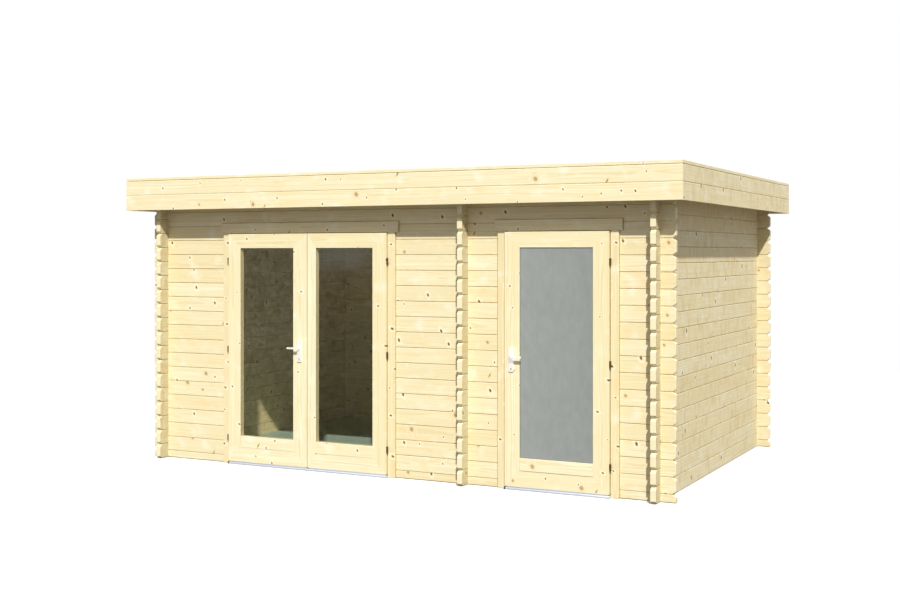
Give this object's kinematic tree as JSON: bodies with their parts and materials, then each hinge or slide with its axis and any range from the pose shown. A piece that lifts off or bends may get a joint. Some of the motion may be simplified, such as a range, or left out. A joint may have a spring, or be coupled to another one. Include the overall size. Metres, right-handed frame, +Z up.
{
  "type": "log cabin garden office with a flat roof",
  "caption": "Two-room garden cabin of interlocking logs with a flat roof, a glazed double door, a frosted single door and sprung lever handles",
  "frame": {"origin": "on the ground at the middle of the plan", "axes": "+X to the right along the front wall, +Y to the back, +Z up"},
  "size_m": [4.632, 3.232, 2.272],
  "materials": {
    "spruce_log": "planed bare spruce logs",
    "planed_spruce": "planed bare spruce boards",
    "door_spruce": "sanded bare spruce joinery",
    "clear_glass": "clear float glass",
    "frosted_glass": "frosted glass",
    "dark_hinge_steel": "dark bronzed steel",
    "handle_metal": "satin anodised",
    "sill_aluminium": "plain extruded",
    "roofing_felt": "mineral-faced roofing sheet",
    "grey_floor_panel": "grey coated panel"
  },
  "bodies": {
    "cabin": {"front_wall_left_logs": "spruce_log", "front_wall_middle_logs": "spruce_log", "front_wall_right_logs": "spruce_log", "front_wall_top_logs": "spruce_log", "back_wall_logs": "spruce_log", "left_wall_logs": "spruce_log", "right_wall_logs": "spruce_log", "partition_logs": "spruce_log", "wall_plates": "spruce_log", "roof_purlins": "planed_spruce", "roof_deck": "planed_spruce", "roof_edge_battens": "planed_spruce", "front_fascia": "planed_spruce", "back_fascia": "planed_spruce", "left_fascia": "planed_spruce", "right_fascia": "planed_spruce", "roof_cap_trims": "planed_spruce", "roof_felt": "roofing_felt", "floor_panels": "grey_floor_panel", "double_door_jambs": "planed_spruce", "single_door_jambs": "planed_spruce", "door_heads": "planed_spruce", "double_door_head_trims": "planed_spruce", "single_door_head_trims": "planed_spruce", "door_sills": "sill_aluminium", "frame_hinges": "dark_hinge_steel"},
    "left_leaf": {"left_leaf_frame": "door_spruce", "left_leaf_kick_panel": "door_spruce", "left_leaf_glass": "clear_glass", "left_leaf_glazing_bead": "door_spruce", "left_leaf_hinges": "dark_hinge_steel", "left_leaf_handle_plates": "handle_metal"},
    "right_leaf": {"right_leaf_frame": "door_spruce", "right_leaf_kick_panel": "door_spruce", "right_leaf_glass": "clear_glass", "right_leaf_glazing_bead": "door_spruce", "right_leaf_hinges": "dark_hinge_steel"},
    "single_leaf": {"single_leaf_frame": "door_spruce", "single_leaf_kick_panel": "door_spruce", "single_leaf_glass": "frosted_glass", "single_leaf_glazing_bead": "door_spruce", "single_leaf_hinges": "dark_hinge_steel", "single_leaf_handle_plates": "handle_metal"},
    "left_lever": {"left_leaf_lever": "handle_metal"},
    "single_lever": {"single_leaf_lever": "handle_metal"}
  },
  "joints": [
    {"name": "left_leaf_swing", "type": "hinge", "parent": "cabin", "child": "left_leaf", "pos_m": [-1.4338, -1.434, 0.9084], "axis": [0, 0, -1], "range_deg": [0, 120]},
    {"name": "right_leaf_swing", "type": "hinge", "parent": "cabin", "child": "right_leaf", "pos_m": [0.0172, -1.434, 0.9084], "axis": [0, 0, 1], "range_deg": [0, 120]},
    {"name": "single_leaf_swing", "type": "hinge", "parent": "cabin", "child": "single_leaf", "pos_m": [1.75848, -1.434, 0.9084], "axis": [0, 0, 1], "range_deg": [0, 120]},
    {"name": "left_lever_press", "type": "hinge", "parent": "left_leaf", "child": "left_lever", "pos_m": [-0.7538, -1.4175, 0.9365], "axis": [0, -1, 0], "range_deg": [0, 45], "stiffness_Nm_per_rad": 1, "springref_deg": -34.38},
    {"name": "single_lever_press", "type": "hinge", "parent": "single_leaf", "child": "single_lever", "pos_m": [1.02598, -1.4175, 0.9365], "axis": [0, 1, 0], "range_deg": [0, 45], "stiffness_Nm_per_rad": 1, "springref_deg": -34.38}
  ]
}
